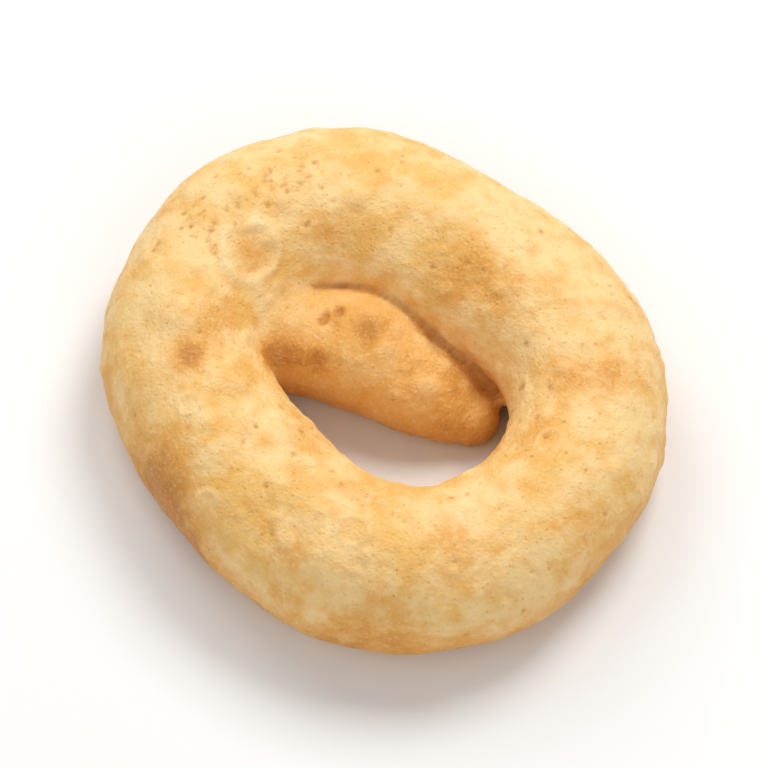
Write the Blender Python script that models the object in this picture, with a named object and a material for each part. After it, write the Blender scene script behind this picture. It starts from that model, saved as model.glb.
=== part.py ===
"""A tarallo: a savoury biscuit made from one rope of dough bent into a ring.

One end of the rope is tucked into the ring, where it lies against the inside of the
arc and leaves half of the hole open. The other end is pressed over the bend. The
biscuit lies flat on the side that touched the baking tray. Units are metres, +Z is
up, and the origin is under the middle of the ring, on the surface it rests on.
"""

import math
import random

import bmesh
import bpy
import numpy as np
from mathutils import Vector, noise

MM = 0.001

# The ring: how far the rope's middle runs from the origin, and the waves that make it uneven.
# A wave is its number of lobes, how far they stand out, and the direction of one in degrees.
RING_REACH = 18.15 * MM
RING_WAVES = (
    (1, 0.35 * MM, 21),
    (2, 2.13 * MM, 136),
    (3, 0.50 * MM, 12),
    (4, 0.26 * MM, 10),
)
RING_STEPS = 180

# The rope: half its width, and the waves that make it thicker towards the bend
ROPE_HALF_WIDTH = 8.0 * MM
ROPE_WAVES = (
    (1, 0.28 * MM, 125),
    (2, 0.23 * MM, 82),
)

# The tucked end: where its middle runs, and its half width there, from the bend to the tip
TUCK_STATIONS = (
    (-14.5 * MM, 8.6 * MM, 6.6 * MM),
    (-11.0 * MM, 7.8 * MM, 5.6 * MM),
    (-7.6 * MM, 6.8 * MM, 5.3 * MM),
    (-1.6 * MM, 5.2 * MM, 5.9 * MM),
    (2.8 * MM, 2.5 * MM, 4.9 * MM),
    (6.2 * MM, 0.8 * MM, 4.0 * MM),
    (8.7 * MM, -0.5 * MM, 2.8 * MM),
)

# Dough that sagged into the groove under the tucked end, along the inside of the arc
SAG_STATIONS = (
    (-10.0 * MM, 13.0 * MM, 3.0 * MM),
    (-5.5 * MM, 11.8 * MM, 3.0 * MM),
    (-1.2 * MM, 10.8 * MM, 2.8 * MM),
    (3.2 * MM, 7.8 * MM, 2.5 * MM),
    (6.5 * MM, 5.4 * MM, 2.2 * MM),
    (9.2 * MM, 3.4 * MM, 1.7 * MM),
)
END_STEPS = 60
END_TIP_STEPS = 12

# The rope's cross-section, as shares of its half width
CROWN = 0.94
BELLY = 0.78
BELLY_SQUARENESS = 2.7
SECTION_STEPS = 40

# The skin, and how much of it the tray flattened
VOXEL = 1.15 * MM
SMOOTHING_PASSES = 4
SMOOTHING_SHARE = 0.5
BASE_FLAT = 0.30 * MM

# Uneven dough: size of the lumps, and how far they stand out above the steady base
LUMPS = (
    (11.0 * MM, 0.55 * MM),
    (4.6 * MM, 0.20 * MM),
)
LUMP_OFFSET = 7.3
STEADY_HEIGHT = 4.0 * MM

# Blisters: how many, the smallest and largest radius, and their rise as a share of it
BLISTER_COUNT = 16
BLISTER_RADII = (2.2 * MM, 3.6 * MM)
BLISTER_RISE = 0.10
BLISTER_TURNS = (5, 175)
BLISTER_SEED = 11

# Dents that fingers left: angle on the ring, turn round the rope, radius, depth
DENTS = (
    (172, 62, 5.2 * MM, 0.55 * MM),
    (118, 105, 4.6 * MM, 0.35 * MM),
    (38, 70, 6.0 * MM, 0.40 * MM),
    (300, 95, 6.5 * MM, 0.45 * MM),
    (238, 60, 5.0 * MM, 0.40 * MM),
)

CRUST_COLOUR = (0.80, 0.50, 0.20, 1.0)
CRUST_ROUGHNESS = 0.55


def clear_scene():
    for thing in list(bpy.data.objects):
        bpy.data.objects.remove(thing)


def with_waves(middle, waves, angle):
    """A size that varies round the ring, at an angle in degrees."""
    return middle + sum(
        amount * math.cos(lobes * math.radians(angle - direction))
        for lobes, amount, direction in waves
    )


def ring_at(angle):
    """Distance from the origin and half width of the ring's rope at an angle in degrees."""
    distance = with_waves(RING_REACH, RING_WAVES, angle)
    half_width = with_waves(ROPE_HALF_WIDTH, ROPE_WAVES, angle)
    return distance, half_width


def rest_height(half_width):
    """Height of the rope's middle when its belly lies on the tray."""
    return BELLY * half_width


def section_point(centre, side, half_width, turn):
    """Point of the rope's skin; turn 0 is sideways along side and 90 degrees is the crown."""
    across = math.cos(turn)
    up = math.sin(turn)
    if up >= 0:
        rise = CROWN * half_width * up
        out = half_width * across
    else:
        power = 2 / BELLY_SQUARENESS
        rise = -BELLY * half_width * abs(up) ** power
        out = half_width * math.copysign(abs(across) ** power, across)
    return centre + side * out + Vector((0, 0, rise))


def add_rope(bm, centres, half_widths, closed):
    """A tube of dough through the centres, closed on itself or capped at both ends."""
    count = len(centres)
    rings = []
    for i, (centre, half_width) in enumerate(zip(centres, half_widths)):
        before = centres[i - 1] if closed or i else centres[0]
        after = centres[(i + 1) % count] if closed or i < count - 1 else centres[-1]
        along = (after - before).normalized()
        side = Vector((along.y, -along.x, 0)).normalized()
        rings.append([
            bm.verts.new(section_point(centre, side, half_width, math.tau * k / SECTION_STEPS))
            for k in range(SECTION_STEPS)
        ])
    for i in range(count if closed else count - 1):
        here = rings[i]
        there = rings[(i + 1) % count]
        for k in range(SECTION_STEPS):
            following = (k + 1) % SECTION_STEPS
            bm.faces.new((here[k], here[following], there[following], there[k]))
    if not closed:
        bm.faces.new(reversed(rings[0]))
        bm.faces.new(rings[-1])


def add_ring(bm):
    centres = []
    half_widths = []
    for i in range(RING_STEPS):
        angle = 360 * i / RING_STEPS
        distance, half_width = ring_at(angle)
        turn = math.radians(angle)
        centres.append(Vector((
            distance * math.cos(turn),
            distance * math.sin(turn),
            rest_height(half_width),
        )))
        half_widths.append(half_width)
    add_rope(bm, centres, half_widths, closed=True)


def catmull_rom(a, b, c, d, t):
    """Value between b and c on the smooth curve through a, b, c and d."""
    return 0.5 * (
        2 * b
        + (c - a) * t
        + (2 * a - 5 * b + 4 * c - d) * t * t
        + (3 * b - a - 3 * c + d) * t * t * t
    )


def end_at(stations, share):
    """Middle and half width of an end of dough, from share 0 at its root to 1 at its tip."""
    last = len(stations) - 1
    place = share * last
    i = min(int(place), last - 1)
    four = [stations[min(max(i + k, 0), last)] for k in (-1, 0, 1, 2)]
    x, y, half_width = (
        catmull_rom(*[station[n] for station in four], place - i) for n in range(3)
    )
    return Vector((x, y, rest_height(half_width))), half_width


def add_end(bm, stations):
    """A tapered rope through the stations, with a round tip after the last one."""
    centres = []
    half_widths = []
    for i in range(END_STEPS + 1):
        centre, half_width = end_at(stations, i / END_STEPS)
        centres.append(centre)
        half_widths.append(half_width)
    onward = (centres[-1] - centres[-2]).normalized()
    tip = centres[-1]
    tip_half_width = half_widths[-1]
    for i in range(1, END_TIP_STEPS):
        turn = math.radians(90) * i / END_TIP_STEPS
        half_width = tip_half_width * math.cos(turn)
        centre = tip + onward * tip_half_width * math.sin(turn)
        centre.z = rest_height(tip_half_width)
        centres.append(centre)
        half_widths.append(half_width)
    add_rope(bm, centres, half_widths, closed=False)


def fused_mesh():
    """The ring, the tucked end and the dough under it as one closed skin."""
    bm = bmesh.new()
    add_ring(bm)
    add_end(bm, TUCK_STATIONS)
    add_end(bm, SAG_STATIONS)
    bmesh.ops.recalc_face_normals(bm, faces=bm.faces)
    rough = bpy.data.meshes.new("rough_dough")
    bm.to_mesh(rough)
    bm.free()
    helper = bpy.data.objects.new("rough_dough", rough)
    bpy.context.scene.collection.objects.link(helper)
    remesh = helper.modifiers.new("fuse", "REMESH")
    remesh.mode = "VOXEL"
    remesh.voxel_size = VOXEL
    bpy.context.view_layer.update()
    graph = bpy.context.evaluated_depsgraph_get()
    fused = bpy.data.meshes.new_from_object(helper.evaluated_get(graph))
    bpy.data.objects.remove(helper)
    return fused


def smooth_skin(bm):
    for _ in range(SMOOTHING_PASSES):
        bmesh.ops.smooth_vert(
            bm,
            verts=bm.verts,
            factor=SMOOTHING_SHARE,
            use_axis_x=True,
            use_axis_y=True,
            use_axis_z=True,
        )


def skin_point(angle, turn):
    """Point of the ring's skin: angle round the ring and turn round the rope, in degrees."""
    distance, half_width = ring_at(angle)
    outward = Vector((math.cos(math.radians(angle)), math.sin(math.radians(angle)), 0))
    centre = outward * distance + Vector((0, 0, rest_height(half_width)))
    return section_point(centre, outward, half_width, math.radians(turn))


def blisters():
    """Places and radii of the blisters, spread over the crown and the sides."""
    draw = random.Random(BLISTER_SEED)
    small, large = BLISTER_RADII
    found = []
    for _ in range(BLISTER_COUNT):
        place = skin_point(draw.uniform(0, 360), draw.uniform(*BLISTER_TURNS))
        found.append((place, draw.uniform(small, large)))
    return found


def bump(distance, radius):
    """A round hill of height 1 that ends at the radius."""
    if distance >= radius:
        return 0.0
    return (1 - (distance / radius) ** 2) ** 2


def relief(place, hills, hollows):
    """How far the skin stands out at a place."""
    freedom = min(1.0, max(0.0, place.z / STEADY_HEIGHT))
    out = 0.0
    for i, (size, height) in enumerate(LUMPS):
        out += freedom * height * noise.noise(place / size + Vector((0, 0, LUMP_OFFSET * i)))
    for middle, radius in hills:
        out += BLISTER_RISE * radius * bump((place - middle).length, radius)
    for middle, radius, depth in hollows:
        out -= depth * bump((place - middle).length, radius)
    return out


def crust_material():
    material = bpy.data.materials.new("baked_crust")
    material.use_nodes = True
    shader = material.node_tree.nodes["Principled BSDF"]
    shader.inputs["Base Color"].default_value = CRUST_COLOUR
    shader.inputs["Roughness"].default_value = CRUST_ROUGHNESS
    shader.inputs["Metallic"].default_value = 0.0
    return material


def press_flat(bm):
    """Set the biscuit down on the tray, which flattens its lowest skin."""
    lowest = min(vert.co.z for vert in bm.verts)
    for vert in bm.verts:
        height = vert.co.z - lowest
        vert.co.z = 0.0 if height < BASE_FLAT else height - BASE_FLAT


def move_to_middle(bm):
    """Put the middle of the biscuit's plan over the origin."""
    places = np.array([vert.co for vert in bm.verts])
    middle = (places.min(axis=0) + places.max(axis=0)) / 2
    for vert in bm.verts:
        vert.co -= Vector((middle[0], middle[1], 0))


def make_tarallo():
    fused = fused_mesh()
    bm = bmesh.new()
    bm.from_mesh(fused)
    bpy.data.meshes.remove(fused)
    smooth_skin(bm)
    bm.normal_update()
    hills = blisters()
    hollows = [(skin_point(angle, turn), radius, depth) for angle, turn, radius, depth in DENTS]
    moves = [vert.normal * relief(vert.co, hills, hollows) for vert in bm.verts]
    for vert, move in zip(bm.verts, moves):
        vert.co += move
    press_flat(bm)
    move_to_middle(bm)
    bmesh.ops.triangulate(bm, faces=bm.faces)
    mesh = bpy.data.meshes.new("tarallo")
    bm.to_mesh(mesh)
    bm.free()
    mesh.shade_smooth()
    mesh.materials.append(crust_material())
    tarallo = bpy.data.objects.new("tarallo", mesh)
    bpy.context.scene.collection.objects.link(tarallo)
    return tarallo


clear_scene()
make_tarallo()
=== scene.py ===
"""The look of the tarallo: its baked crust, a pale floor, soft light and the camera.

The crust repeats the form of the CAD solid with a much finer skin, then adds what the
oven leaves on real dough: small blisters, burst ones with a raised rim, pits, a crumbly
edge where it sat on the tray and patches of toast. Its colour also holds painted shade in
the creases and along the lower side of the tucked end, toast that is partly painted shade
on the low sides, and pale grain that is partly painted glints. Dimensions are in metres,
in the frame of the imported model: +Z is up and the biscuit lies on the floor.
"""

import math
import random

import bmesh
import bpy
import numpy as np
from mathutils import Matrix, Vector, noise


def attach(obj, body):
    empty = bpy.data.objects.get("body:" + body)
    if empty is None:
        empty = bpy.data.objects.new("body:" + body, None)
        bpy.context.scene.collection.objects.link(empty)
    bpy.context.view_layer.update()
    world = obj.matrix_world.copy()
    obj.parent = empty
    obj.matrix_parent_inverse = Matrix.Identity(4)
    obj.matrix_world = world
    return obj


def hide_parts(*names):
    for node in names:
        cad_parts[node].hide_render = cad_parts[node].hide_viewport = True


MM = 0.001

# The ring: how far the rope's middle runs from the origin, and the waves that make it uneven.
# A wave is its number of lobes, how far they stand out, and the direction of one in degrees.
RING_REACH = 18.15 * MM
RING_WAVES = (
    (1, 0.35 * MM, 21),
    (2, 2.13 * MM, 136),
    (3, 0.50 * MM, 12),
    (4, 0.26 * MM, 10),
)
RING_STEPS = 360

# The rope: half its width, and the waves that make it thicker towards the bend
ROPE_HALF_WIDTH = 8.0 * MM
ROPE_WAVES = (
    (1, 0.28 * MM, 125),
    (2, 0.23 * MM, 82),
)

# The tucked end: where its middle runs, and its half width there, from the bend to the tip
TUCK_STATIONS = (
    (-14.5 * MM, 8.6 * MM, 6.6 * MM),
    (-11.0 * MM, 7.8 * MM, 5.6 * MM),
    (-7.6 * MM, 6.8 * MM, 5.3 * MM),
    (-1.6 * MM, 5.2 * MM, 5.9 * MM),
    (2.8 * MM, 2.5 * MM, 4.9 * MM),
    (6.2 * MM, 0.8 * MM, 4.0 * MM),
    (8.7 * MM, -0.5 * MM, 2.8 * MM),
)

# Dough that sagged into the groove under the tucked end, along the inside of the arc
SAG_STATIONS = (
    (-10.0 * MM, 13.0 * MM, 3.0 * MM),
    (-5.5 * MM, 11.8 * MM, 3.0 * MM),
    (-1.2 * MM, 10.8 * MM, 2.8 * MM),
    (3.2 * MM, 7.8 * MM, 2.5 * MM),
    (6.5 * MM, 5.4 * MM, 2.2 * MM),
    (9.2 * MM, 3.4 * MM, 1.7 * MM),
)
END_STEPS = 120
END_TIP_STEPS = 16

# The rope's cross-section, as shares of its half width
CROWN = 0.94
BELLY = 0.78
BELLY_SQUARENESS = 2.7
SECTION_STEPS = 80

# The skin, how far it is drawn in to leave room for its relief, and how much of it the tray
# flattened
VOXEL = 0.30 * MM
SMOOTHING_PASSES = 7
SMOOTHING_SHARE = 0.5
SKIN_INSET = 0.10 * MM
BASE_FLAT = 0.40 * MM

# Creases: smoothing that fills them, the depths at which they begin and are full, and how
# far they calm the skin's ripples and small blisters
CREASE_PASSES = 60
CREASE_DEPTHS = (0.12 * MM, 0.48 * MM)
CREASE_CALM = 0.75

# Where the dough of the bend and of the tucked end grew together: the middle of the join,
# its widest radius, and how often the skin is smoothed at each of the radii inside it
JOIN_PLACE = (-10.0 * MM, 6.6 * MM, 9.8 * MM)
JOIN_RADIUS = 5.0 * MM
JOIN_RADII = 6
JOIN_PASSES = 45

# The groove along the line where the tucked end meets the ring: its depth and half width,
# how often it is evened out, and where along X it begins and is at its full depth
GROOVE_DEPTH = 0.32 * MM
GROOVE_HALF_WIDTH = 1.15 * MM
GROOVE_EVENING = 8
GROOVE_START = (-8.6 * MM, -3.8 * MM)

# Uneven dough: size of the lumps, and how far they stand out above the steady base
LUMPS = (
    (11.0 * MM, 0.55 * MM),
    (4.6 * MM, 0.20 * MM),
)
LUMP_OFFSET = 7.3
STEADY_HEIGHT = 4.0 * MM

# Uneven skin, too fine for the solid: size and height of its ripples
RIPPLES = (
    (1.9 * MM, 0.085 * MM),
    (0.95 * MM, 0.050 * MM),
    (0.60 * MM, 0.040 * MM),
)
RIPPLE_OFFSET = 31.7

# The crumbly edge that the tray left: how high it reaches, its crumbs' size and height, and
# the deepest hollow between them as a share of that height
EDGE_HEIGHT = 2.4 * MM
EDGE_CRUMB = (0.85 * MM, 0.45 * MM)
EDGE_HOLLOW = -0.3
EDGE_OFFSET = 52.9

# Large blisters: how many, the smallest and largest radius, and their rise as a share of it
BLISTER_COUNT = 16
BLISTER_RADII = (2.2 * MM, 3.6 * MM)
BLISTER_RISE = 0.10
BLISTER_TURNS = (5, 175)
BLISTER_SEED = 11

# Dents that fingers left: angle on the ring, turn round the rope, radius, depth
DENTS = (
    (172, 62, 5.2 * MM, 0.55 * MM),
    (118, 105, 4.6 * MM, 0.35 * MM),
    (38, 70, 6.0 * MM, 0.40 * MM),
    (300, 95, 6.5 * MM, 0.45 * MM),
    (238, 60, 5.0 * MM, 0.40 * MM),
)

# Small blisters all over: how many on the ring and on the tucked end, and the turns round
# the rope and the shares of the end's length between which they lie; their radii, their
# rise as a share of the radius, and how pale their skin is
SMALL_BLISTERS = 260
SMALL_BLISTER_TURNS = (-15, 195)
SMALL_BLISTERS_ON_TUCK = 26
TUCK_BLISTER_SHARES = (0.35, 1)
TUCK_BLISTER_TURNS = (20, 160)
SMALL_BLISTER_RADII = (0.45 * MM, 1.7 * MM)
SMALL_BLISTER_RISE = 0.19
SMALL_BLISTER_PALENESS = 0.5
SMALL_BLISTER_SEED = 23

# Burst blisters, which leave a raised rim: angle on the ring, turn round the rope, radius
BURST_BLISTERS = (
    (138, 117, 3.5 * MM),
    (196, 74, 1.4 * MM),
    (84, 78, 1.2 * MM),
    (262, 82, 1.9 * MM),
    (331, 104, 1.6 * MM),
    (20, 52, 1.3 * MM),
    (222, 40, 1.5 * MM),
)

# Their rims: the largest one's height, then place and width as shares of the radius. Noise
# of a size makes them wobble, and fade from their usual strength. A smaller blister's rim
# is lower, by a power of its size.
RIM_RISE = 0.34 * MM
RIM_PLACE = 0.80
RIM_WIDTH = 0.16
RIM_NOISE = 2.4 * MM
RIM_OFFSET = 77.1
RIM_WOBBLE = 0.18
RIM_STRENGTH = 0.80
RIM_FADING = 1.3
RIM_SIZE_POWER = 0.6

# Pits: a dense field on the arc, between two angles on the ring and two turns round the
# rope, others anywhere on the upper side, their radii, and their depth as a share of them
PIT_FIELD_ANGLES = (106, 146)
PIT_FIELD_TURNS = (60, 100)
PITS_IN_FIELD = 80
PIT_TURNS = (0, 180)
PITS_ELSEWHERE = 150
PIT_RADII = (0.28 * MM, 0.56 * MM)
PIT_DEPTH = 0.34
PIT_SEED = 5

# Large pits on the tucked end: place in plan and radius, and their depth as a share of it
TUCK_PITS = (
    (-6.1 * MM, 5.7 * MM, 0.90 * MM),
    (-5.8 * MM, 6.4 * MM, 0.80 * MM),
    (-4.3 * MM, 7.2 * MM, 0.95 * MM),
)
TUCK_PIT_DEPTH = 0.60
LARGEST_PIT = max(radius for x, y, radius in TUCK_PITS)

# Patches of toast: angle on the ring, turn round the rope, radius, strength. The two low on
# the left side are partly toast, partly painted shade.
TOAST_AND_SHADE_PATCHES = (
    (47, 118, 3.6 * MM, 0.95),
    (28, 112, 2.6 * MM, 0.50),
    (109, 132, 3.0 * MM, 0.50),
    (111, 126, 1.2 * MM, 0.60),
    (175, 110, 1.8 * MM, 0.35),
    (138, 117, 2.2 * MM, 0.80),
    (158, 122, 2.6 * MM, 0.45),
    (168, 101, 3.0 * MM, 0.60),
    (181, 88, 1.7 * MM, 1.55),
    (178, 36, 4.0 * MM, 0.25),
    (190, 116, 2.4 * MM, 0.55),
    (-4, 72, 3.2 * MM, 1.00),
    (-6, 112, 2.6 * MM, 0.80),
    # partly toast, partly painted shade low on the left side
    (205, 30, 4.6 * MM, 0.90),
    (216, 6, 5.0 * MM, 0.95),
    (246, 52, 2.8 * MM, 0.60),
    (228, 128, 3.0 * MM, 0.75),
    (262, 112, 2.6 * MM, 0.70),
    (290, 76, 3.4 * MM, 0.75),
    (318, 50, 3.0 * MM, 0.70),
    (332, 118, 3.2 * MM, 0.70),
    (270, 20, 4.5 * MM, 0.70),
    (80, 24, 3.6 * MM, 0.50),
)

# Patches of toast on the tucked end: place in plan, radius, strength. The first three are
# painted shade along its lower side, from the notch at the bend.
TUCK_TOAST_AND_SHADE_PATCHES = (
    # painted shade along the lower side of the tucked end, from the notch at the bend
    (-10.0 * MM, 2.6 * MM, 1.6 * MM, 1.30),
    (-8.6 * MM, 2.6 * MM, 1.6 * MM, 1.00),
    (-6.0 * MM, 2.0 * MM, 1.7 * MM, 1.10),
    (-4.2 * MM, 6.9 * MM, 1.9 * MM, 0.70),
    (-0.9 * MM, 3.4 * MM, 1.7 * MM, 0.75),
    (-2.4 * MM, 4.2 * MM, 1.3 * MM, 0.50),
    (-5.2 * MM, 5.8 * MM, 1.2 * MM, 0.70),
    (-0.2 * MM, 6.8 * MM, 2.2 * MM, 0.80),
    (3.4 * MM, 3.4 * MM, 2.2 * MM, 0.50),
    (7.2 * MM, 0.4 * MM, 1.8 * MM, 0.70),
)

# How softly the tucked end's colour passes into the ring's
TUCK_EDGE = 1.2 * MM

# Soft lumps on the tucked end: place in plan, radius, height
TUCK_LUMPS = (
    (-9.2 * MM, 5.2 * MM, 2.0 * MM, 0.28 * MM),
    (-6.4 * MM, 3.2 * MM, 2.0 * MM, 0.38 * MM),
    (-0.2 * MM, 6.1 * MM, 2.4 * MM, 0.30 * MM),
    (4.0 * MM, 2.9 * MM, 2.6 * MM, 0.25 * MM),
)

# Colours of the crust: the dough as it bakes, from pale to deep toast, then its marks.
# Toast and deep toast also carry painted shade, the groove's colour is painted shade, and the
# pale grain is partly painted glints.
PALE = (0.893, 0.618, 0.276, 1.0)
GOLDEN = (0.830, 0.490, 0.138, 1.0)
# toast, partly painted shade where the low sides and the shaded patches reach it
TOAST_AND_SHADE = (0.765, 0.358, 0.066, 1.0)
# deep toast, which also paints the shade in creases and on the most shaded parts
DEEP_TOAST_AND_SHADE = (0.530, 0.205, 0.034, 1.0)
# painted shade: the dark line along the groove where the tucked end meets the ring
GROOVE_SHADE = (0.550, 0.210, 0.042, 1.0)
PORE = (0.560, 0.235, 0.050, 1.0)
# pale grain, partly the dough's own grain and partly painted glints; it also pales the blisters
PALE_GRAIN_AND_GLINT = (0.960, 0.740, 0.400, 1.0)
SPECK = (0.400, 0.215, 0.075, 1.0)
UNDERSIDE = (0.560, 0.290, 0.095, 1.0)

# Noises of the crust: size in millimetres, detail, roughness
MOTTLE_NOISE = (8.5, 3, 0.55)
CLOUD_NOISE = (3.0, 4, 0.60)
GLOSS_NOISE = (2.2, 3, 0.50)
FRECKLE_NOISE = (2.1, 2, 0.45)
FINE_NOISE = (0.9, 3, 0.60)
FINE_BUMP_NOISE = (0.8, 3, 0.60)
GRAIN_NOISE = (0.33, 2, 0.50)

# Pores and dark specks: the distance between neighbours in millimetres
PORE_SPACING = 0.62
SPECK_SPACING = 3.4

# Layers of colour: the amount at which each begins, at which it is full, and the most that
# it covers. The underside's amount is a height in millimetres, and so is the low side's,
# which adds to the toast and is partly toast, partly painted shade on the low sides.
GOLDEN_LAYER = (0.34, 0.72, 1.0)
# partly toast, partly painted shade on the low sides
LOW_SIDE_TOAST_AND_SHADE_LAYER = (11.6, 1.5, 1.0)
TOAST_AND_SHADE_LAYER = (0.05, 1.10, 0.90)
FRECKLE_LAYER = (0.47, 0.76, 0.42)
DEEP_TOAST_AND_SHADE_LAYER = (0.75, 1.6, 0.85)
GRAIN_AND_GLINT_LAYER = (0.52, 0.72, 0.26)
PORE_LAYER = (0.30, 0.10, 0.45)
PIT_LAYER = (0.02, 0.72, 0.90)
SPECK_LAYER = (0.075, 0.03, 0.6)
GROOVE_SHADE_LAYER = (0.08, 0.55, 0.7)
UNDERSIDE_LAYER = (1.1, 0.1, 0.75)

# Layers that cover a share of their mark: the tucked end, blistered skin, and creases, whose
# darker colour is painted shade
TUCK_COVER = 0.45
BLISTER_COVER = 0.48
CREASE_SHADE_COVER = 0.30

# Gates for pores, specks and pits: the amounts at which each begins to open and is open
PORE_GATE = (0.42, 0.70)
SPECK_GATE = (0.50, 0.58)
PIT_GATE = (0.0, 0.10)

# How far the cloudy noise sways baking and the toast with its painted shade, and the fine
# noise that toast and the pits
BAKING_SWAY = 0.9
TOAST_AND_SHADE_SWAY = 1.3
FINE_TOAST_AND_SHADE_SWAY = 0.7
PIT_SWAY = 0.6

# Bumps finer than the mesh: how high each kind is, and the pores' edge
GRAIN_BUMP = 0.085 * MM
PORE_BUMP = 0.035 * MM
FINE_BUMP = 0.12 * MM
PORE_EDGE = (0.05, 0.34)

# Shine and depth of the crust: roughness between two amounts of the gloss noise, how much
# it reflects, and how far light goes in
GLOSS_RANGE = (0.3, 0.7)
ROUGHNESS_RANGE = (0.48, 0.66)
CRUST_SPECULAR = 0.35
SUBSURFACE_WEIGHT = 0.12
SUBSURFACE_RADIUS = (1.0, 0.55, 0.25)
SUBSURFACE_SCALE = 0.9 * MM

# Floor, light and camera
FLOOR_SIZE = 1.2
FLOOR_COLOUR = (0.885, 0.885, 0.885, 1.0)
FLOOR_ROUGHNESS = 0.7
FLOOR_SPECULAR = 0.2
WORLD_COLOUR = (1.0, 1.0, 1.0, 1.0)
WORLD_STRENGTH = 0.40
CAMERA_ELEVATION = 61
CAMERA_DISTANCE = 0.9
CAMERA_LENS = 450
CAMERA_AIM = (0.0, 0.0, 7.0 * MM)
CAMERA_CLIP = (0.01, 10)
SENSOR = 36

# Lights: name, azimuth and elevation in degrees, distance, size, power, colour
LIGHTS = (
    ("key", 58, 52, 0.60, 0.30, 2.1, (1.0, 0.985, 0.96)),
    ("back", 118, 42, 0.65, 0.40, 1.2, (1.0, 0.99, 0.97)),
    ("left_fill", 205, 40, 0.70, 0.50, 0.5, (1.0, 0.99, 0.98)),
    ("front_fill", -72, 38, 0.70, 0.50, 0.9, (1.0, 0.985, 0.965)),
)


def with_waves(middle, waves, angle):
    """A size that varies round the ring, at an angle in degrees."""
    return middle + sum(
        amount * math.cos(lobes * math.radians(angle - direction))
        for lobes, amount, direction in waves
    )


def ring_at(angle):
    """Distance from the origin and half width of the ring's rope at an angle in degrees."""
    distance = with_waves(RING_REACH, RING_WAVES, angle)
    half_width = with_waves(ROPE_HALF_WIDTH, ROPE_WAVES, angle)
    return distance, half_width


def rest_height(half_width):
    """Height of the rope's middle when its belly lies on the tray."""
    return BELLY * half_width


def section_point(centre, side, half_width, turn):
    """Point of the rope's skin; turn 0 is sideways along side and 90 degrees is the crown."""
    across = math.cos(turn)
    up = math.sin(turn)
    if up >= 0:
        rise = CROWN * half_width * up
        out = half_width * across
    else:
        power = 2 / BELLY_SQUARENESS
        rise = -BELLY * half_width * abs(up) ** power
        out = half_width * math.copysign(abs(across) ** power, across)
    return centre + side * out + Vector((0, 0, rise))


def add_rope(bm, centres, half_widths, closed):
    """A tube of dough through the centres, closed on itself or capped at both ends."""
    count = len(centres)
    rings = []
    for i, (centre, half_width) in enumerate(zip(centres, half_widths)):
        before = centres[i - 1] if closed or i else centres[0]
        after = centres[(i + 1) % count] if closed or i < count - 1 else centres[-1]
        along = (after - before).normalized()
        side = Vector((along.y, -along.x, 0)).normalized()
        rings.append([
            bm.verts.new(section_point(centre, side, half_width, math.tau * k / SECTION_STEPS))
            for k in range(SECTION_STEPS)
        ])
    for i in range(count if closed else count - 1):
        here = rings[i]
        there = rings[(i + 1) % count]
        for k in range(SECTION_STEPS):
            following = (k + 1) % SECTION_STEPS
            bm.faces.new((here[k], here[following], there[following], there[k]))
    if not closed:
        bm.faces.new(reversed(rings[0]))
        bm.faces.new(rings[-1])


def ring_course():
    """Middles and half widths of the rope, once round the ring."""
    centres = []
    half_widths = []
    for i in range(RING_STEPS):
        angle = 360 * i / RING_STEPS
        distance, half_width = ring_at(angle)
        turn = math.radians(angle)
        centres.append(Vector((
            distance * math.cos(turn),
            distance * math.sin(turn),
            rest_height(half_width),
        )))
        half_widths.append(half_width)
    return centres, half_widths


def catmull_rom(a, b, c, d, t):
    """Value between b and c on the smooth curve through a, b, c and d."""
    return 0.5 * (
        2 * b
        + (c - a) * t
        + (2 * a - 5 * b + 4 * c - d) * t * t
        + (3 * b - a - 3 * c + d) * t * t * t
    )


def end_at(stations, share):
    """Middle and half width of an end of dough, from share 0 at its root to 1 at its tip."""
    last = len(stations) - 1
    place = share * last
    i = min(int(place), last - 1)
    four = [stations[min(max(i + k, 0), last)] for k in (-1, 0, 1, 2)]
    x, y, half_width = (
        catmull_rom(*[station[n] for station in four], place - i) for n in range(3)
    )
    return Vector((x, y, rest_height(half_width))), half_width


def end_course(stations):
    """Middles and half widths of a tapered end, with a round tip after the last station."""
    centres = []
    half_widths = []
    for i in range(END_STEPS + 1):
        centre, half_width = end_at(stations, i / END_STEPS)
        centres.append(centre)
        half_widths.append(half_width)
    onward = (centres[-1] - centres[-2]).normalized()
    tip = centres[-1]
    tip_half_width = half_widths[-1]
    for i in range(1, END_TIP_STEPS):
        turn = math.radians(90) * i / END_TIP_STEPS
        centre = tip + onward * tip_half_width * math.sin(turn)
        centre.z = rest_height(tip_half_width)
        centres.append(centre)
        half_widths.append(tip_half_width * math.cos(turn))
    return centres, half_widths


def fused_mesh():
    """The ring, the tucked end and the dough under it as one closed skin."""
    bm = bmesh.new()
    add_rope(bm, *ring_course(), closed=True)
    add_rope(bm, *end_course(TUCK_STATIONS), closed=False)
    add_rope(bm, *end_course(SAG_STATIONS), closed=False)
    bmesh.ops.recalc_face_normals(bm, faces=bm.faces)
    rough = bpy.data.meshes.new("rough_dough")
    bm.to_mesh(rough)
    bm.free()
    helper = bpy.data.objects.new("rough_dough", rough)
    bpy.context.scene.collection.objects.link(helper)
    remesh = helper.modifiers.new("fuse", "REMESH")
    remesh.mode = "VOXEL"
    remesh.voxel_size = VOXEL
    bpy.context.view_layer.update()
    graph = bpy.context.evaluated_depsgraph_get()
    fused = bpy.data.meshes.new_from_object(helper.evaluated_get(graph))
    bpy.data.objects.remove(helper)
    return fused


def smooth_skin(bm, verts, passes):
    for _ in range(passes):
        bmesh.ops.smooth_vert(
            bm,
            verts=verts,
            factor=SMOOTHING_SHARE,
            use_axis_x=True,
            use_axis_y=True,
            use_axis_z=True,
        )


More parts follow.
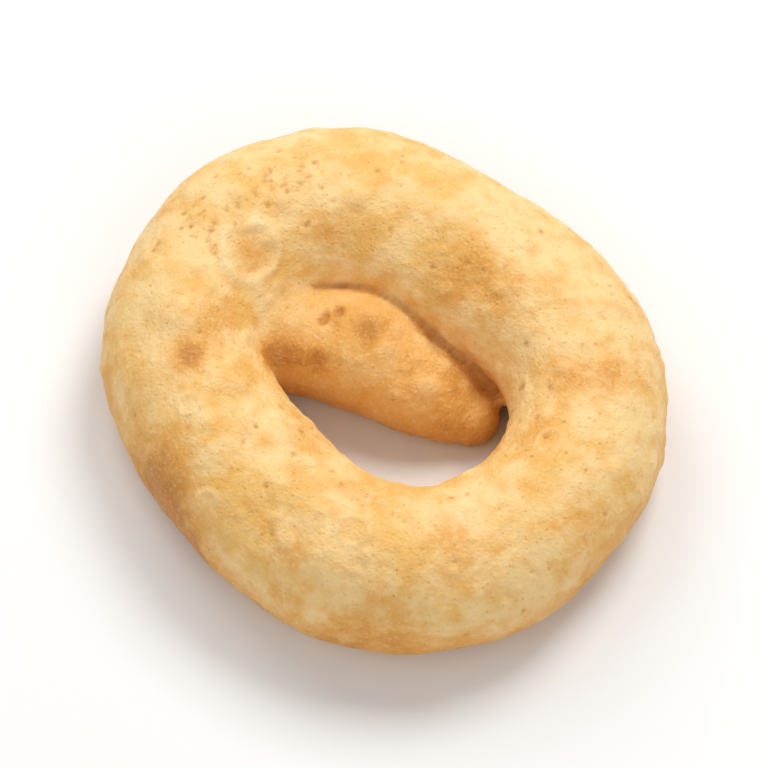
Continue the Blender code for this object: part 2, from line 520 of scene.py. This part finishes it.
def close_join(bm):
    """Fill the valley between the bend and the tucked end, most at its middle."""
    middle = Vector(JOIN_PLACE)
    for i in range(JOIN_RADII):
        radius = JOIN_RADIUS * (i + 1) / JOIN_RADII
        near = [vert for vert in bm.verts if (vert.co - middle).length < radius]
        smooth_skin(bm, near, JOIN_PASSES)


def evened(amounts, edges, passes):
    """Amounts at the skin's points, averaged with their neighbours' a number of times."""
    first, second = edges.T
    neighbours = np.bincount(edges.ravel(), minlength=len(amounts))
    for _ in range(passes):
        total = np.bincount(first, amounts[second], len(amounts))
        total += np.bincount(second, amounts[first], len(amounts))
        amounts = (amounts + total / neighbours) / 2
    return amounts


def skin_point(angle, turn):
    """Point of the ring's skin: angle round the ring and turn round the rope, in degrees."""
    distance, half_width = ring_at(angle)
    outward = Vector((math.cos(math.radians(angle)), math.sin(math.radians(angle)), 0))
    centre = outward * distance + Vector((0, 0, rest_height(half_width)))
    return section_point(centre, outward, half_width, math.radians(turn))


def tuck_point(share, turn):
    """Point of the tucked end's skin: share from its root to its tip, turn in degrees."""
    centre, half_width = end_at(TUCK_STATIONS, share)
    ahead, _ = end_at(TUCK_STATIONS, min(1.0, share + 1 / END_STEPS))
    behind, _ = end_at(TUCK_STATIONS, max(0.0, share - 1 / END_STEPS))
    along = (ahead - behind).normalized()
    side = Vector((along.y, -along.x, 0)).normalized()
    return section_point(centre, side, half_width, math.radians(turn))


def top_point(places, x, y):
    """The skin's highest point near a place in plan."""
    away = np.hypot(places[:, 0] - x, places[:, 1] - y)
    near = np.where(away < 2 * VOXEL)[0]
    return places[near[np.argmax(places[near, 2])]]


def large_blisters():
    """Places and radii of the large blisters, spread over the crown and the sides."""
    draw = random.Random(BLISTER_SEED)
    found = []
    for _ in range(BLISTER_COUNT):
        place = skin_point(draw.uniform(0, 360), draw.uniform(*BLISTER_TURNS))
        found.append((place, draw.uniform(*BLISTER_RADII)))
    return found


def tallest(places, features):
    """Radius times hill height, at each place, of the feature that counts most there."""
    best = np.zeros(len(places))
    for point, radius in features:
        best = np.maximum(best, radius * bump(away_from(places, point), radius))
    return best


def small_blisters():
    """Places and radii of the small blisters; most of them are close to the smallest size."""
    draw = random.Random(SMALL_BLISTER_SEED)
    small, large = SMALL_BLISTER_RADII
    found = []
    for i in range(SMALL_BLISTERS + SMALL_BLISTERS_ON_TUCK):
        if i < SMALL_BLISTERS:
            place = skin_point(draw.uniform(0, 360), draw.uniform(*SMALL_BLISTER_TURNS))
        else:
            share = draw.uniform(*TUCK_BLISTER_SHARES)
            place = tuck_point(share, draw.uniform(*TUCK_BLISTER_TURNS))
        found.append((place, small + (large - small) * draw.random() ** 2))
    return found


def pits():
    """Places and radii of the pits on the ring: those of the field, then the others."""
    draw = random.Random(PIT_SEED)
    found = []
    for count, angles, turns in (
        (PITS_IN_FIELD, PIT_FIELD_ANGLES, PIT_FIELD_TURNS),
        (PITS_ELSEWHERE, (0, 360), PIT_TURNS),
    ):
        for _ in range(count):
            place = skin_point(draw.uniform(*angles), draw.uniform(*turns))
            found.append((place, draw.uniform(*PIT_RADII)))
    return found


def tuck_pits(places):
    """Places and radii of the large pits on the tucked end."""
    return [(top_point(places, x, y), radius) for x, y, radius in TUCK_PITS]


def away_from(places, point):
    """Distance of each place from a point."""
    return np.linalg.norm(places - np.array(point), axis=1)


def bump(away, radius):
    """Round hills of height 1 that end at the radius."""
    return np.clip(1 - (away / radius) ** 2, 0, 1) ** 2


def rims(places):
    """Height, from 0 to 1, of the burst blisters' uneven rims; the large ones stand highest."""
    wobble = RIM_WOBBLE * noise_at(places, RIM_NOISE, RIM_OFFSET)
    fading = RIM_FADING * noise_at(places, RIM_NOISE, 2 * RIM_OFFSET)
    widest = max(radius for angle, turn, radius in BURST_BLISTERS)
    best = np.zeros(len(places))
    for angle, turn, radius in BURST_BLISTERS:
        away = away_from(places, skin_point(angle, turn)) / radius * (1 + wobble)
        ridge = np.exp(-((away - RIM_PLACE) / RIM_WIDTH) ** 2)
        best = np.maximum(best, ridge * (radius / widest) ** RIM_SIZE_POWER)
    return best * np.clip(RIM_STRENGTH + fading, 0, 1)


def noise_at(places, size, offset):
    """Noise between about -1 and 1, with lumps of a size."""
    return np.array([
        noise.noise((x, y, z)) for x, y, z in (places / size + np.array([0, 0, offset])).tolist()
    ])


def relief(places, calm):
    """How far the skin stands out; calm takes away ripples and small blisters."""
    freedom = np.clip(places[:, 2] / STEADY_HEIGHT, 0, 1)
    out = np.full(len(places), -SKIN_INSET)
    for i, (size, height) in enumerate(LUMPS):
        out += freedom * height * noise_at(places, size, LUMP_OFFSET * i)
    for i, (size, height) in enumerate(RIPPLES):
        ripples = noise_at(places, size, RIPPLE_OFFSET + LUMP_OFFSET * i)
        out += (1 - calm) * height * ripples
    for point, radius in large_blisters():
        out += BLISTER_RISE * radius * bump(away_from(places, point), radius)
    out += (1 - calm) * SMALL_BLISTER_RISE * tallest(places, small_blisters())
    for x, y, radius, height in TUCK_LUMPS:
        out += height * bump(away_from(places, top_point(places, x, y)), radius)
    for angle, turn, radius, depth in DENTS:
        out -= depth * bump(away_from(places, skin_point(angle, turn)), radius)
    out += RIM_RISE * rims(places)
    out -= PIT_DEPTH * tallest(places, pits())
    out -= TUCK_PIT_DEPTH * tallest(places, tuck_pits(places))
    crumb, height = EDGE_CRUMB
    edge = np.clip(1 - places[:, 2] / EDGE_HEIGHT, 0, 1)
    out += edge * height * np.clip(noise_at(places, crumb, EDGE_OFFSET), EDGE_HOLLOW, 1)
    return out


def skin_gap(places, course):
    """About how far each place is from a rope's skin: over 0 outside it, under 0 inside."""
    centres, half_widths = course
    centres = np.array(centres)
    half_widths = np.array(half_widths)
    best = np.full(len(places), np.inf)
    nearest = np.zeros(len(places), dtype=int)
    for i, centre in enumerate(centres):
        away = np.hypot(places[:, 0] - centre[0], places[:, 1] - centre[1])
        closer = away < best
        best[closer] = away[closer]
        nearest[closer] = i
    width = half_widths[nearest]
    rise = places[:, 2] - centres[nearest, 2]
    reach = np.where(rise > 0, CROWN * width, BELLY * width)
    return (np.hypot(best / width, rise / reach) - 1) * width


def toasting_and_shade(places):
    """How much toast the patches give the crust, some of it painted shade: 0 away from them,
    their strength at the middle.
    """
    amount = np.zeros(len(places))
    for angle, turn, radius, strength in TOAST_AND_SHADE_PATCHES:
        amount += strength * np.exp(-(away_from(places, skin_point(angle, turn)) / radius) ** 2)
    for x, y, radius, strength in TUCK_TOAST_AND_SHADE_PATCHES:
        amount += strength * np.exp(-(away_from(places, top_point(places, x, y)) / radius) ** 2)
    return amount


def blister_marks(places):
    """Pale thin skin over the small blisters and on the rims of the burst ones."""
    small = tallest(places, small_blisters()) / SMALL_BLISTER_RADII[1]
    return np.maximum(SMALL_BLISTER_PALENESS * small, rims(places))


def mark_skin(mesh, places, creased, grooved, on_tuck):
    """Keep what the crust's material needs to know as numbers on the mesh's points."""
    all_pits = pits() + tuck_pits(places)
    marks = {
        # toast, with painted shade from some of the patches
        "toasting_and_shade": toasting_and_shade(places),
        "blister": blister_marks(places),
        "pit": tallest(places, all_pits) / LARGEST_PIT,
        "crease": creased,
        "groove": grooved,
        "tuck": on_tuck,
    }
    for name, amounts in marks.items():
        mark = mesh.attributes.new(name, "FLOAT", "POINT")
        mark.data.foreach_set("value", amounts.astype(np.float32))


def rest_flat(places):
    """Set the biscuit down on the floor, which flattens its lowest skin, over the origin."""
    height = places[:, 2] - places[:, 2].min()
    places[:, 2] = np.where(height < BASE_FLAT, 0.0, height - BASE_FLAT)
    middle = (places.min(axis=0) + places.max(axis=0)) / 2
    places[:, :2] -= middle[:2]


def creases(bm, places, normals):
    """How deep in a crease each place is, from 0 to 1; it smooths the skin to fill them."""
    smooth_skin(bm, bm.verts, CREASE_PASSES)
    filled = np.array([vert.co for vert in bm.verts])
    hollows = ((filled - places) * normals).sum(axis=1)
    shallow, deep = CREASE_DEPTHS
    return np.clip((hollows - shallow) / (deep - shallow), 0, 1)


def groove(places, edges, creased, ring_gap, tuck_gap):
    """How deep each place is, from 0 to 1, in the groove where tucked end and ring meet."""
    meeting = (np.abs(ring_gap) + np.abs(tuck_gap)) / GROOVE_HALF_WIDTH
    faint, full = GROOVE_START
    begun = np.clip((places[:, 0] - faint) / (full - faint), 0, 1)
    return evened(begun * creased * np.exp(-meeting ** 2), edges, GROOVE_EVENING)


def make_crust():
    """The whole biscuit's skin, in place of the plain solid."""
    fused = fused_mesh()
    bm = bmesh.new()
    bm.from_mesh(fused)
    bpy.data.meshes.remove(fused)
    smooth_skin(bm, bm.verts, SMOOTHING_PASSES)
    close_join(bm)
    bm.normal_update()
    places = np.array([vert.co for vert in bm.verts])
    normals = np.array([vert.normal for vert in bm.verts])
    edges = np.array([(edge.verts[0].index, edge.verts[1].index) for edge in bm.edges])
    creased = creases(bm, places, normals)
    ring_gap = skin_gap(places, ring_course())
    tuck_gap = skin_gap(places, end_course(TUCK_STATIONS))
    on_tuck = np.clip(0.5 + (ring_gap - tuck_gap) / TUCK_EDGE, 0, 1)
    grooved = groove(places, edges, creased, ring_gap, tuck_gap)
    out = relief(places, CREASE_CALM * creased) - GROOVE_DEPTH * grooved
    moved = places + normals * out[:, None]
    rest_flat(moved)
    for vert, place in zip(bm.verts, moved):
        vert.co = place
    mesh = bpy.data.meshes.new("tarallo_crust")
    bm.to_mesh(mesh)
    bm.free()
    mesh.shade_smooth()
    mark_skin(mesh, places, creased, grooved, on_tuck)
    mesh.materials.append(crust_material())
    crust = bpy.data.objects.new("tarallo_crust", mesh)
    bpy.context.scene.collection.objects.link(crust)
    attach(crust, "root")
    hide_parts("tarallo")


def feed(tree, socket, value):
    """Give a socket a value, or link it to another node's output."""
    if isinstance(value, bpy.types.NodeSocket):
        tree.links.new(value, socket)
    else:
        socket.default_value = value


def add_node(tree, kind, inputs=None, **settings):
    """A shader node with its settings, its inputs given as values or as other nodes' outputs."""
    node = tree.nodes.new(kind)
    for name, value in settings.items():
        setattr(node, name, value)
    for name, value in (inputs or {}).items():
        feed(tree, node.inputs[name], value)
    return node


def mark_of(tree, name):
    """One of the amounts that the mesh's points keep."""
    return add_node(tree, "ShaderNodeAttribute", attribute_name=name).outputs["Fac"]


def noise_of(tree, where, kind):
    """Cloudy noise from 0 to 1; its kind is its size in millimetres, detail and roughness."""
    size, detail, roughness = kind
    inputs = {"Vector": where, "Scale": 1 / size, "Detail": detail, "Roughness": roughness}
    return add_node(tree, "ShaderNodeTexNoise", inputs).outputs["Fac"]


def cells_of(tree, where, spacing):
    """Distance to the nearest of scattered points, as a share of their spacing."""
    inputs = {"Vector": where, "Scale": 1 / spacing}
    return add_node(tree, "ShaderNodeTexVoronoi", inputs).outputs["Distance"]


def ramp(tree, value, start, end):
    """0 before start and 1 past end, with a soft step between; start may be the larger."""
    inputs = {"Value": value, "From Min": start, "From Max": end}
    kind = "ShaderNodeMapRange"
    return add_node(tree, kind, inputs, interpolation_type="SMOOTHSTEP").outputs["Result"]


def combine(tree, operation, a, b):
    node = add_node(tree, "ShaderNodeMath", operation=operation)
    for socket, value in zip(node.inputs, (a, b)):
        feed(tree, socket, value)
    return node.outputs["Value"]


def share_of(tree, amount, layer):
    """How much a layer covers where its amount is this much."""
    start, end, most = layer
    return combine(tree, "MULTIPLY", ramp(tree, amount, start, end), most)


def mixed(tree, share, under, over):
    """Colour under, covered by colour over to a share."""
    node = add_node(tree, "ShaderNodeMix", data_type="RGBA")
    for name, value in (("Factor_Float", share), ("A_Color", under), ("B_Color", over)):
        feed(tree, next(each for each in node.inputs if each.identifier == name), value)
    return next(each for each in node.outputs if each.identifier == "Result_Color")


def swayed(tree, amount, noise_amount, sway):
    """An amount, with as much of a noise around 0 added as sway says."""
    return combine(tree, "ADD", amount, combine(tree, "MULTIPLY", noise_amount, sway))


def toast_and_shade_of(tree, height, unevenness, fine_unevenness):
    """How much toast the crust gets, partly painted shade: its patches and low sides, swayed by
    noise.
    """
    # partly toast, partly painted shade on the low sides
    low = share_of(tree, height, LOW_SIDE_TOAST_AND_SHADE_LAYER)
    toast_and_shade_amount = combine(tree, "ADD", mark_of(tree, "toasting_and_shade"), low)
    toast_and_shade_amount = swayed(tree, toast_and_shade_amount, unevenness, TOAST_AND_SHADE_SWAY)
    return swayed(tree, toast_and_shade_amount, fine_unevenness, FINE_TOAST_AND_SHADE_SWAY)


def baked_colour(tree, where, height, unevenness, fine_unevenness):
    """The dough's colour, from pale to deep toast, with painted shade in part of the toast."""
    bakedness = swayed(tree, noise_of(tree, where, MOTTLE_NOISE), unevenness, BAKING_SWAY)
    toast_and_shade_amount = toast_and_shade_of(tree, height, unevenness, fine_unevenness)
    freckles = noise_of(tree, where, FRECKLE_NOISE)
    on_tuck = combine(tree, "MULTIPLY", mark_of(tree, "tuck"), TUCK_COVER)
    colour = PALE
    for share, over in (
        (share_of(tree, bakedness, GOLDEN_LAYER), GOLDEN),
        (share_of(tree, toast_and_shade_amount, TOAST_AND_SHADE_LAYER), TOAST_AND_SHADE),
        (on_tuck, TOAST_AND_SHADE),
        (share_of(tree, freckles, FRECKLE_LAYER), TOAST_AND_SHADE),
        (share_of(tree, toast_and_shade_amount, DEEP_TOAST_AND_SHADE_LAYER), DEEP_TOAST_AND_SHADE),
    ):
        colour = mixed(tree, share, colour, over)
    return colour


def gated(tree, share, amount, gate):
    """A share, let through only where an amount opens the gate."""
    return combine(tree, "MULTIPLY", share, ramp(tree, amount, *gate))


def crust_colour(tree, where, height):
    """The crust's colour: baked dough, covered by its marks, by painted shade in its creases and
    groove, and by its brown underside.
    """
    cloud = noise_of(tree, where, CLOUD_NOISE)
    fine = noise_of(tree, where, FINE_NOISE)
    grain = noise_of(tree, where, GRAIN_NOISE)
    unevenness = combine(tree, "SUBTRACT", cloud, 0.5)
    fine_unevenness = combine(tree, "SUBTRACT", fine, 0.5)
    pit = mark_of(tree, "pit")
    pores = share_of(tree, cells_of(tree, where, PORE_SPACING), PORE_LAYER)
    pits_share = share_of(tree, swayed(tree, pit, fine_unevenness, PIT_SWAY), PIT_LAYER)
    specks = share_of(tree, cells_of(tree, where, SPECK_SPACING), SPECK_LAYER)
    colour = baked_colour(tree, where, height, unevenness, fine_unevenness)
    for share, over in (
        (combine(tree, "MULTIPLY", mark_of(tree, "blister"), BLISTER_COVER), PALE_GRAIN_AND_GLINT),
        # pale grain, partly painted glints
        (share_of(tree, grain, GRAIN_AND_GLINT_LAYER), PALE_GRAIN_AND_GLINT),
        (gated(tree, pores, fine, PORE_GATE), PORE),
        (gated(tree, pits_share, pit, PIT_GATE), PORE),
        (gated(tree, specks, cloud, SPECK_GATE), SPECK),
        # painted shade in the creases
        (combine(tree, "MULTIPLY", mark_of(tree, "crease"), CREASE_SHADE_COVER), DEEP_TOAST_AND_SHADE),
        # painted shade along the groove
        (share_of(tree, mark_of(tree, "groove"), GROOVE_SHADE_LAYER), GROOVE_SHADE),
        (share_of(tree, height, UNDERSIDE_LAYER), UNDERSIDE),
    ):
        colour = mixed(tree, share, colour, over)
    return colour


def crust_bump(tree, where):
    """Grain, pores and unevenness that are finer than the mesh."""
    grain = noise_of(tree, where, GRAIN_NOISE)
    pores = ramp(tree, cells_of(tree, where, PORE_SPACING), *PORE_EDGE)
    fine = noise_of(tree, where, FINE_BUMP_NOISE)
    inputs = {"Strength": 1.0}
    for height, rise in ((grain, GRAIN_BUMP), (pores, PORE_BUMP), (fine, FINE_BUMP)):
        inputs.update({"Height": height, "Distance": rise})
        node = add_node(tree, "ShaderNodeBump", inputs)
        inputs["Normal"] = node.outputs["Normal"]
    return inputs["Normal"]


def crust_roughness(tree, where):
    """Cloudy roughness, from satin to nearly matt."""
    low, high = GLOSS_RANGE
    smooth, rough = ROUGHNESS_RANGE
    node = add_node(tree, "ShaderNodeMapRange", {
        "Value": noise_of(tree, where, GLOSS_NOISE),
        "From Min": low,
        "From Max": high,
        "To Min": smooth,
        "To Max": rough,
    })
    return node.outputs["Result"]


def crust_material():
    material = bpy.data.materials.new("baked_crust")
    material.use_nodes = True
    tree = material.node_tree
    shader = tree.nodes["Principled BSDF"]
    place = add_node(tree, "ShaderNodeTexCoord").outputs["Object"]
    inputs = {0: place, 1: (1 / MM, 1 / MM, 1 / MM)}
    where = add_node(tree, "ShaderNodeVectorMath", inputs, operation="MULTIPLY").outputs["Vector"]
    height = add_node(tree, "ShaderNodeSeparateXYZ", {"Vector": where}).outputs["Z"]
    tree.links.new(crust_colour(tree, where, height), shader.inputs["Base Color"])
    tree.links.new(crust_roughness(tree, where), shader.inputs["Roughness"])
    tree.links.new(crust_bump(tree, where), shader.inputs["Normal"])
    shader.inputs["Metallic"].default_value = 0.0
    shader.inputs["Specular IOR Level"].default_value = CRUST_SPECULAR
    shader.inputs["Subsurface Weight"].default_value = SUBSURFACE_WEIGHT
    shader.inputs["Subsurface Radius"].default_value = SUBSURFACE_RADIUS
    shader.inputs["Subsurface Scale"].default_value = SUBSURFACE_SCALE
    return material


def make_floor():
    half = FLOOR_SIZE / 2
    corners = [(-half, -half, 0), (half, -half, 0), (half, half, 0), (-half, half, 0)]
    mesh = bpy.data.meshes.new("floor")
    mesh.from_pydata(corners, [], [(0, 1, 2, 3)])
    floor = bpy.data.objects.new("floor", mesh)
    bpy.context.scene.collection.objects.link(floor)
    material = bpy.data.materials.new("pale_floor")
    material.use_nodes = True
    shader = material.node_tree.nodes["Principled BSDF"]
    shader.inputs["Base Color"].default_value = FLOOR_COLOUR
    shader.inputs["Roughness"].default_value = FLOOR_ROUGHNESS
    shader.inputs["Specular IOR Level"].default_value = FLOOR_SPECULAR
    mesh.materials.append(material)


def direction(azimuth, elevation):
    """Unit vector; azimuth 0 is +X and 90 degrees is +Y."""
    turn = math.radians(azimuth)
    rise = math.radians(elevation)
    return Vector((
        math.cos(rise) * math.cos(turn),
        math.cos(rise) * math.sin(turn),
        math.sin(rise),
    ))


def look_from(thing, place, aim):
    thing.location = place
    thing.rotation_euler = (aim - place).to_track_quat("-Z", "Y").to_euler()


def make_lights():
    aim = Vector(CAMERA_AIM)
    for name, azimuth, elevation, distance, size, power, colour in LIGHTS:
        lamp = bpy.data.lights.new(name, "AREA")
        lamp.shape = "DISK"
        lamp.size = size
        lamp.energy = power
        lamp.color = colour
        light = bpy.data.objects.new(name, lamp)
        bpy.context.scene.collection.objects.link(light)
        look_from(light, aim + direction(azimuth, elevation) * distance, aim)


def make_world():
    world = bpy.data.worlds.new("soft_white")
    world.use_nodes = True
    background = world.node_tree.nodes["Background"]
    background.inputs["Color"].default_value = WORLD_COLOUR
    background.inputs["Strength"].default_value = WORLD_STRENGTH
    scene = bpy.context.scene
    scene.world = world
    scene.view_settings.view_transform = "Standard"
    scene.view_settings.look = "None"


def make_camera():
    lens = bpy.data.cameras.new("camera")
    lens.lens = CAMERA_LENS
    lens.sensor_width = SENSOR
    lens.clip_start, lens.clip_end = CAMERA_CLIP
    camera = bpy.data.objects.new("camera", lens)
    bpy.context.scene.collection.objects.link(camera)
    aim = Vector(CAMERA_AIM)
    look_from(camera, aim + direction(-90, CAMERA_ELEVATION) * CAMERA_DISTANCE, aim)
    bpy.context.scene.camera = camera


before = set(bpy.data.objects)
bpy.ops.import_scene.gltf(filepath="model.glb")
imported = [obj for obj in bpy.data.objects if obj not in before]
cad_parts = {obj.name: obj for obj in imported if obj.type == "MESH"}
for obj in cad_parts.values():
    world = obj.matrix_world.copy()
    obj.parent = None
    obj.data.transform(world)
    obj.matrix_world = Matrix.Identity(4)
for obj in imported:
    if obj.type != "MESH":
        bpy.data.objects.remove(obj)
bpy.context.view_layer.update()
make_camera()
make_crust()
make_floor()
make_lights()
make_world()
